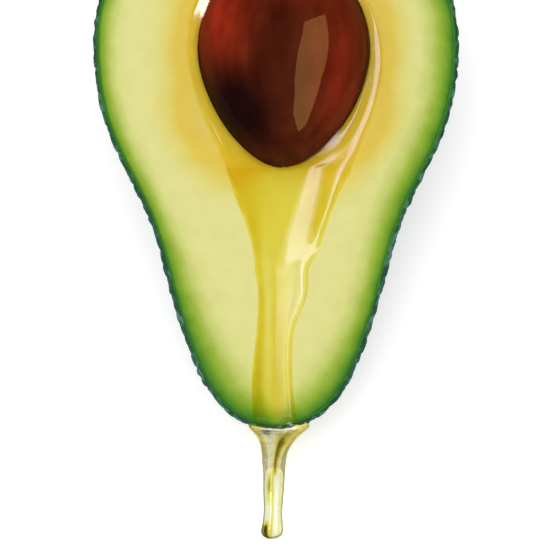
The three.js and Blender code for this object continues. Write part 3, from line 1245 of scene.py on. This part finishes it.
@dataclass
class Oil:
    """Oil round the seed, down the cut face, over the stem end and along the surface."""

    fruit: Fruit
    egg: Egg
    steps: int = 12  # columns for each place across a section
    rows: int = 22  # rows for each section of the stream
    arm_rows: int = 26
    fall_rows: int = 26
    arm_wall: float = 0.5  # how deep the colour of its side walls is
    stream_wall: float = 0.2
    fall_wall: float = 0.3
    sunk: float = 0.35  # how far its underside reaches into what it wets
    end_length: float = 2.3  # of the trickle's round end
    join: tuple[float, float] = (0.2, 2.2)  # where the stream's section turns into the fall's
    hug: float = 1.3  # how far the sides of the collar follow the stem end's rounding
    hug_end: tuple[float, float] = (2.6, 7.0)  # where they start to leave it and have left it
    lift: float = 0.04  # how far it lies above the surface
    weld: float = 2e-3  # points of its grids closer than this become one
    veil: float = 0.45  # share of the trickle that light passes without bending
    rope: tuple[float, float] = (0.55, 0.28)  # place across and width of the trickle's ropes
    # painted shade: dark lines down the trickle for the light that the oil bends
    streaks: tuple[Streak, ...] = (
        Streak(1.2, -0.1, 0.09, 0.45, 0.6),
        Streak(0.7, 0.62, 0.08, 0.5, 0.6),
        Streak(4.5, -0.58, 0.2, 0.86, 0.93),
    )

    def across(self, heights: list[tuple[float, ...]]) -> np.ndarray:
        """A smooth section through its places."""
        return through(heights, self.steps * (len(heights) - 1))

    def arm(self, sections: tuple[ArmSection, ...], side: int) -> np.ndarray:
        """The oil on one side of the seed.

        Args:
            sections: From the seed's round end to its pointed end, at equal angles.
            side: -1 for the left, 1 for the right.

        Returns:
            A grid of points; its columns run from the seed to the outer edge.
        """
        count = self.arm_rows * (len(sections) - 1)
        outer = through([s.outer for s in sections], count)
        inner = self.egg.edge(np.linspace(0, math.pi, count + 1), -0.15)
        inner[:, 0] = self.egg.x + side * inner[:, 0]
        inner[-1] = (self.egg.x, sections[-1].outer[1])
        flat = [[v for place in s.places for v in place] for s in sections]
        grid = []
        for start, end, places in zip(inner, outer, through(flat, count)):
            shares = [tuple(pair) for pair in places.reshape(-1, 2)] + [(1.0, 0.0)]
            line = self.across(shares)
            xy = start + (end - start) * line[:, :1]
            grid.append(np.column_stack([xy, line[:, 1]]))
        return np.array(grid)

    def stream(self) -> tuple[np.ndarray, np.ndarray]:
        """The oil on the cut face from the seed's pointed end to near the rim.

        Returns:
            A grid of points, and the depth of colour at each.
        """
        flat = [(s.y, *s.x, *s.height, *s.depth) for s in STREAM]
        grid, depth = [], []
        for y, *places in through(flat, self.rows * (len(STREAM) - 1)):
            line = self.across(list(np.reshape(places, (3, -1)).T))
            grid.append(np.column_stack([line[:, 0], np.full(len(line), y), line[:, 1]]))
            # depth of colour, partly painted light
            depth.append(np.maximum(line[:, 2], 0))
        return np.array(grid), np.array(depth)

    def fall(self, place: Matrix, last: np.ndarray) -> tuple[np.ndarray, np.ndarray]:
        """The oil from near the rim to the tip of the trickle.

        Args:
            place: The fruit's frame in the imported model's.
            last: The last row of the stream.

        Returns:
            The grids of its upper and under sides.
        """
        tilt = self.fruit.tilt
        ahead = np.array([0, -math.cos(tilt), math.sin(tilt)])
        down = np.array([0, -math.sin(tilt), -math.cos(tilt)])
        rim = np.array([0, -self.fruit.stem_length, 0])
        rows = through([astuple(s) for s in FALL], self.fall_rows * (len(FALL) - 1))
        reach = np.hypot(np.diff(rows[:, 0]), np.diff(rows[:, 1])).cumsum()
        reach = np.concatenate([[0], reach])
        end = np.sqrt(np.clip(1 - ((reach - reach[-1]) / self.end_length + 1) ** 2, 0, 1))
        share = np.where(reach > reach[-1] - self.end_length, end, 1.0)
        v = -np.cos(np.linspace(0, math.pi, last.shape[0]))
        lens = np.sqrt(np.clip(1 - v**2, 0, 1))
        rope = hump(np.abs(v) - self.rope[0], self.rope[1])
        centres = rim + rows[:, :1] * ahead + rows[:, 1:2] * down
        along = np.gradient(centres, axis=0)
        along /= np.linalg.norm(along, axis=1, keepdims=True)
        up = np.cross(along, (1, 0, 0))
        hug = self.hug * (1 - smoothstep(reach, *self.hug_end))
        upper, under = [], []
        for i, (_, _, middle, left, right, ropes, dip, below) in enumerate(rows):
            x = middle + np.where(v < 0, v * left, v * right) * share[i]
            top = (dip + (ropes - dip) * rope) * lens * share[i]
            low = -below * lens * share[i]
            sideways = np.column_stack([x, 0 * x, 0 * x]) - ahead * (hug[i] * v**2)[:, None]
            face = 1 - smoothstep(reach[i], *self.join)
            a = centres[i] + sideways + up[i] * top[:, None]
            b = centres[i] + sideways + up[i] * low[:, None]
            if face > 0:
                moved = last + (centres[i] - centres[0])
                a = a * (1 - face) + moved * face
                b = b * (1 - face) + self.sunk_under(moved) * face
            upper.append(a)
            under.append(b)
        return self.off_surface(place, np.array(upper)), self.off_surface(place, np.array(under))

    def off_surface(self, place: Matrix, points: np.ndarray) -> np.ndarray:
        """Lifts what would reach below the surface that the half lies on.

        Args:
            place: The fruit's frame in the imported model's.
            points: The grid.

        Returns:
            The grid with its low points lifted.
        """
        matrix = np.array(place) / MM
        height = points @ matrix[2, :3] + matrix[2, 3]
        sunk = np.minimum(height - self.lift, 0)
        return points - sunk[..., None] * matrix[2, :3]

    def sunk_under(self, upper: np.ndarray) -> np.ndarray:
        """The underside of oil on the cut face, a little way into what it wets."""
        return upper * (1, 1, 0) + (0, 0, -self.sunk)

    def add_sheet(
        self,
        surface: Surface,
        upper: np.ndarray,
        under: np.ndarray,
        wall: float,
        flip: bool = False,
        **values: np.ndarray,
    ) -> None:
        """Adds a sheet of oil: its upper side, its underside and the walls along both edges.

        Args:
            surface: The mesh in the making.
            upper: The grid of the upper side.
            under: The grid of the underside.
            wall: How deep the colour of the walls is.
            flip: Turns the faces over.
            values: Named numbers, one for each point of either grid.
        """
        surface.grid(upper, flip=flip, **values)
        surface.grid(under, flip=not flip, **values)
        for column, turned in ((0, not flip), (-1, flip)):
            side = np.stack([upper[:, column], under[:, column]], axis=1)
            surface.grid(side, flip=turned, thickness=np.full(side.shape[:2], wall))

    def add_arm(self, surface: Surface, arm: np.ndarray, start: np.ndarray, flip: bool) -> None:
        """Adds the oil on one side of the seed, led into the stream.

        Args:
            surface: The mesh in the making.
            arm: Its grid.
            start: The stream's points that its last row has to meet.
            flip: Turns the faces over.
        """
        share = smoothstep(np.linspace(0, 1, len(arm)), 0.8, 1)
        arm += share[:, None, None] * (start - arm[-1])
        inside = smoothstep(np.linspace(1, 0, arm.shape[1]), 0, 0.2)
        depth = 1.2 * arm[..., 2] * inside
        self.add_sheet(surface, arm, self.sunk_under(arm), self.arm_wall, flip, thickness=depth)

    def fall_values(self, rows: int, columns: int) -> dict[str, np.ndarray]:
        """How the falling and lying oil is coloured. Its darker outline, horns, wedge, dash, tip
        and streaks are painted shade for the light that the oil bends.

        Args:
            rows: The grid's rows, from the rim to the tip.
            columns: Its columns, from left to right.

        Returns:
            The named numbers for its finish.
        """
        at = np.linspace(0, 1, rows)[:, None]
        v = -np.cos(np.linspace(0, math.pi, columns))
        side = np.abs(v)
        collar = 1 - smoothstep(at, 0.3, 0.45)
        base = 0.12 - 0.06 * smoothstep(at, 0.5, 0.6)
        # painted shade: the dark outline and horns, and below them the wedge, dash and tip, stand
        # in for light that the oil bends
        outline = 0.6 * smoothstep(side, 0.8, 1)
        horns = 2.0 * smoothstep(side, 0.85, 1) * hump(at - 0.2, 0.05)
        ropes = 1.1 * hump(side - 0.75, 0.14) * collar
        wedge = 3.2 * hump(v - 0.35 + 0.7 * (at - 0.2), 0.26 - 0.3 * (at - 0.2))
        wedge = wedge * (smoothstep(at, 0.17, 0.3) - smoothstep(at, 0.55, 0.63))
        dash = 2.8 * hump(v + 0.4, 0.11) * hump(at - 0.68, 0.07)
        tip = 1.5 * smoothstep(at, 0.985, 1)
        depth = base + outline + horns + ropes + wedge + dash + tip
        for streak in self.streaks:
            line = streak.strength * hump(v - streak.side, streak.width)
            depth = depth + line * smoothstep(at, streak.start, streak.full)
        even_across = np.ones(columns)
        return {
            "thickness": depth,
            "veil": self.veil * smoothstep(at, 0.1, 0.25) * even_across,
            "lying": smoothstep(at, 0.5, 0.62) * even_across,
        }

    def build(self, place: Matrix) -> bpy.types.Object:
        """Builds the oil.

        Args:
            place: The fruit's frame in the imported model's.

        Returns:
            The piece.
        """
        surface = Surface("oil_run")
        left, right = self.arm(LEFT_ARM, -1), self.arm(RIGHT_ARM, 1)
        stream, depth = self.stream()
        half = stream.shape[1] // 2
        starts = (stream[0, half::-1], stream[0, half:])
        for arm, start, flip in zip((left, right), starts, (True, False)):
            self.add_arm(surface, arm, start, flip)
        self.add_sheet(surface, stream, self.sunk_under(stream), self.stream_wall, thickness=depth)
        upper, under = self.fall(place, stream[-1])
        values = self.fall_values(*upper.shape[:2])
        self.add_sheet(surface, upper, under, self.fall_wall, **values)
        made = surface.make(place, weld=self.weld)
        made.data.materials.append(OilFinish().material())
        stand_in(made, Slot.OIL, "oil")
        return made


# ---------------------------------------------------------------------------------------------
# The studio
# ---------------------------------------------------------------------------------------------


@dataclass(frozen=True)
class Lamp:
    """A soft box, aimed at the half. Metres; directions are in the fruit's frame.

    right and up are how far it stands to the side and towards the blossom end for each metre
    out from the cut face. A mirrored one only shows as a highlight, on the pieces that mirror
    it, and any other one only gives light.
    """

    name: str
    right: float
    up: float
    distance: float
    size: tuple[float, float]
    power: float
    colour: tuple[float, float, float] = (1.0, 1.0, 1.0)
    mirrored: bool = False


@dataclass(frozen=True)
class Card:
    """A bright card of any outline. Millimetres in the fruit's frame.

    Each corner is a direction from the place that the card faces.
    """

    name: str
    faces: tuple[float, float, float]
    distance: float
    corners: tuple[tuple[float, float, float], ...]
    power: float
    colour: tuple[float, float, float]


def collected(name: str, pieces: list[bpy.types.Object]) -> bpy.types.Collection:
    """Gathers pieces in a collection of their own.

    Args:
        name: What is shown to them alone.
        pieces: The pieces.

    Returns:
        The collection.
    """
    group = bpy.data.collections.new(f"{name}_on")
    for piece in pieces:
        group.objects.link(piece)
    return group


@dataclass
class Studio:
    """A pale floor, soft light and the camera."""

    place: Matrix
    aim: tuple[float, float] = (0.8, -46.9)  # what the camera looks at on the cut face
    width: float = 111.4  # of the view at the cut face
    camera_distance: float = 0.9
    sensor: float = 36.0
    clip: tuple[float, float] = (0.05, 10.0)
    floor_size: float = 1.6
    floor_gap: float = 0.00002
    floor_white: float = 0.93
    floor_light: float = 0.35
    glow_gap: float = 0.0002  # under the floor
    glow_power: float = 0.28
    glow_colour: tuple[float, float, float] = (0.5, 1.0, 0.8)
    sky_light: float = 0.4
    lamps: tuple[Lamp, ...] = (
        Lamp("lamp_overhead", -0.12, 0.18, 0.9, (1.4, 1.4), 1.75),
    )
    reflected: tuple[Lamp, ...] = (
        Lamp("box_oil", 0.43, -0.1, 0.5, (0.17, 0.5), 8.2, (0.67, 0.66, 1.0), True),
        Lamp("box_lobe", 0.14, -0.03, 0.5, (0.09, 0.04), 4.0, (0.95, 0.66, 0.9), True),
        Lamp("strip_oil", -0.55, 0.0, 0.5, (0.04, 0.9), 1.2, (1.0, 0.97, 0.85), True),
        Lamp("box_shoulder", -0.46, 0.36, 0.5, (0.16, 0.12), 26.0, (1.0, 1.0, 1.0), True),
        Lamp("rim_right", 1.8, -0.4, 0.4, (0.25, 0.5), 1.6, (0.6, 1.0, 0.95), True),
        Lamp("rim_left", -1.8, -0.4, 0.4, (0.25, 0.5), 1.6, (0.6, 1.0, 0.95), True),
    )
    cards: tuple[Card, ...] = (
        Card(
            "window_seed",
            (6.0, -6.0, 14.0),
            1200.0,
            (
                (0.43, 0.46, 0.79),
                (0.80, 0.55, 0.33),
                (0.89, 0.19, 0.44),
                (0.76, -0.49, 0.46),
                (0.40, -0.95, 0.04),
                (0.23, -0.87, 0.48),
                (0.27, -0.58, 0.77),
                (0.38, -0.03, 0.93),
            ),
            31.0,
            (1.0, 0.53, 0.17),
        ),
    )

    def build(self, seen: dict[str, list[bpy.types.Object]]) -> None:
        """Builds the studio.

        Args:
            seen: For each lamp that only some pieces mirror, those pieces.
        """
        self.camera()
        self.floor(seen["floor_glow"])
        self.sky()
        for lamp in (*self.lamps, *self.reflected):
            self.light(lamp, seen.get(lamp.name))
        for card in self.cards:
            self.card(card, seen[card.name])

    def camera(self) -> None:
        """Looks straight down at the cut face."""
        data = bpy.data.cameras.new("camera")
        data.sensor_width = self.sensor
        data.lens = self.sensor * self.camera_distance / (self.width * MM)
        data.clip_start, data.clip_end = self.clip
        made = bpy.data.objects.new("camera", data)
        turn = self.place.to_3x3().normalized().to_4x4()
        spot = self.place @ Vector((*self.aim, self.camera_distance / MM))
        made.matrix_world = Matrix.Translation(spot) @ turn
        bpy.context.scene.collection.objects.link(made)
        bpy.context.scene.camera = made

    def floor(self, seen: list[bpy.types.Object]) -> None:
        """A plain white surface under the half, with a glow that only some pieces mirror.

        Args:
            seen: The pieces that mirror the glow.
        """
        s = self.floor_size / 2
        square = [(-s, -s), (s, -s), (s, s), (-s, s)]
        outline = [Vector((x, y, -self.glow_gap)) for x, y in square]
        self.glow("floor_glow", outline, self.glow_power, self.glow_colour, seen)
        mesh = bpy.data.meshes.new("floor")
        mesh.from_pydata([(x, y, -self.floor_gap) for x, y in square], [], [(0, 1, 2, 3)])
        made = bpy.data.objects.new("floor", mesh)
        bpy.context.scene.collection.objects.link(made)
        n = Nodes("floor_white")
        shader = n.add(
            "BsdfPrincipled",
            {
                "Base Color": (self.floor_white, self.floor_white, self.floor_white, 1),
                "Roughness": 0.8,
                "Emission Color": (1, 1, 1, 1),
                "Emission Strength": self.floor_light,
            },
        )
        made.data.materials.append(n.finish(shader))
        made.visible_glossy = False
        made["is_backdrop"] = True

    def card(self, card: Card, seen: list[bpy.types.Object]) -> None:
        """Hangs a bright card of any outline that only some pieces mirror.

        Args:
            card: What and where.
            seen: The pieces that mirror it.
        """
        middle = Vector(card.faces)
        outline = [self.place @ (middle + Vector(c) * card.distance) for c in card.corners]
        self.glow(card.name, outline, card.power, card.colour, seen)

    def glow(
        self,
        name: str,
        outline: list[Vector],
        power: float,
        colour: tuple[float, float, float],
        seen: list[bpy.types.Object],
    ) -> None:
        """Makes a glowing face that is only seen mirrored.

        Args:
            name: Its name.
            outline: Its corners in the model's frame.
            power: How bright it is.
            colour: Its light.
            seen: The pieces that mirror it.
        """
        mesh = bpy.data.meshes.new(name)
        mesh.from_pydata(outline, [], [tuple(range(len(outline)))])
        made = bpy.data.objects.new(name, mesh)
        bpy.context.scene.collection.objects.link(made)
        n = Nodes(name)
        light = n.add("Emission", {"Color": (*colour, 1), "Strength": power})
        mesh.materials.append(n.finish(light))
        for kind in ("camera", "diffuse", "transmission", "volume_scatter", "shadow"):
            setattr(made, f"visible_{kind}", False)
        made.light_linking.receiver_collection = collected(name, seen)
        made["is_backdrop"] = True

    def sky(self) -> None:
        """Even white light from all round, which nothing mirrors."""
        world = bpy.data.worlds.new("studio")
        world.use_nodes = True
        back = world.node_tree.nodes["Background"]
        back.inputs["Color"].default_value = (1, 1, 1, 1)
        back.inputs["Strength"].default_value = self.sky_light
        world.cycles_visibility.glossy = False
        bpy.context.scene.world = world
        bpy.context.scene.view_settings.view_transform = "Standard"

    def light(self, lamp: Lamp, seen: list[bpy.types.Object] | None) -> None:
        """Hangs one soft box.

        Args:
            lamp: What and where.
            seen: The only pieces that it lights, or None for all.
        """
        data = bpy.data.lights.new(lamp.name, "AREA")
        data.shape = "RECTANGLE"
        data.size, data.size_y = lamp.size
        data.color = lamp.colour
        area = lamp.size[0] * lamp.size[1]
        data.energy = lamp.power * area * math.pi
        made = bpy.data.objects.new(lamp.name, data)
        out = Vector((lamp.right, lamp.up, 1.0)) * (lamp.distance / MM)
        spot = self.place @ (Vector((*self.aim, 0)) + out)
        target = self.place @ Vector((*self.aim, 0))
        back = (spot - target).normalized()
        side = (self.place.to_3x3() @ Vector((0, 1, 0))).cross(back).normalized()
        face = Matrix((side, back.cross(side), back)).transposed().to_4x4()
        made.matrix_world = Matrix.Translation(spot) @ face
        made.visible_camera = False
        made.visible_transmission = False
        made.visible_glossy = lamp.mirrored
        made.visible_diffuse = not lamp.mirrored
        bpy.context.scene.collection.objects.link(made)
        if seen:
            made.light_linking.receiver_collection = collected(lamp.name, seen)


def corners() -> list[list[float]]:
    """The shown object's lowest and highest corners."""
    return [list(corner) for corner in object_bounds()]


def main() -> None:
    """Builds every piece over the frame."""
    logging.basicConfig(level=logging.INFO, format="%(name)s: %(message)s")
    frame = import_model()
    rest = Vector(frame["record"]["mounts"][0]["pos_m"])
    fruit, egg = Fruit(), Egg()
    place = fruit.place(rest)
    skin = Skin(fruit).build(place)
    Flesh(fruit, egg).build(place)
    seed = Seed(egg).build(place)
    oil = Oil(fruit, egg).build(place)
    Studio(place).build(
        {
            "window_seed": [seed],
            "floor_glow": [skin],
            "box_oil": [oil],
            "box_lobe": [oil],
            "strip_oil": [oil],
            "box_shoulder": [oil],
            "rim_right": [skin],
            "rim_left": [skin],
        }
    )
    LOG.info("visual %s", corners())


if __name__ == "__main__":
    main()
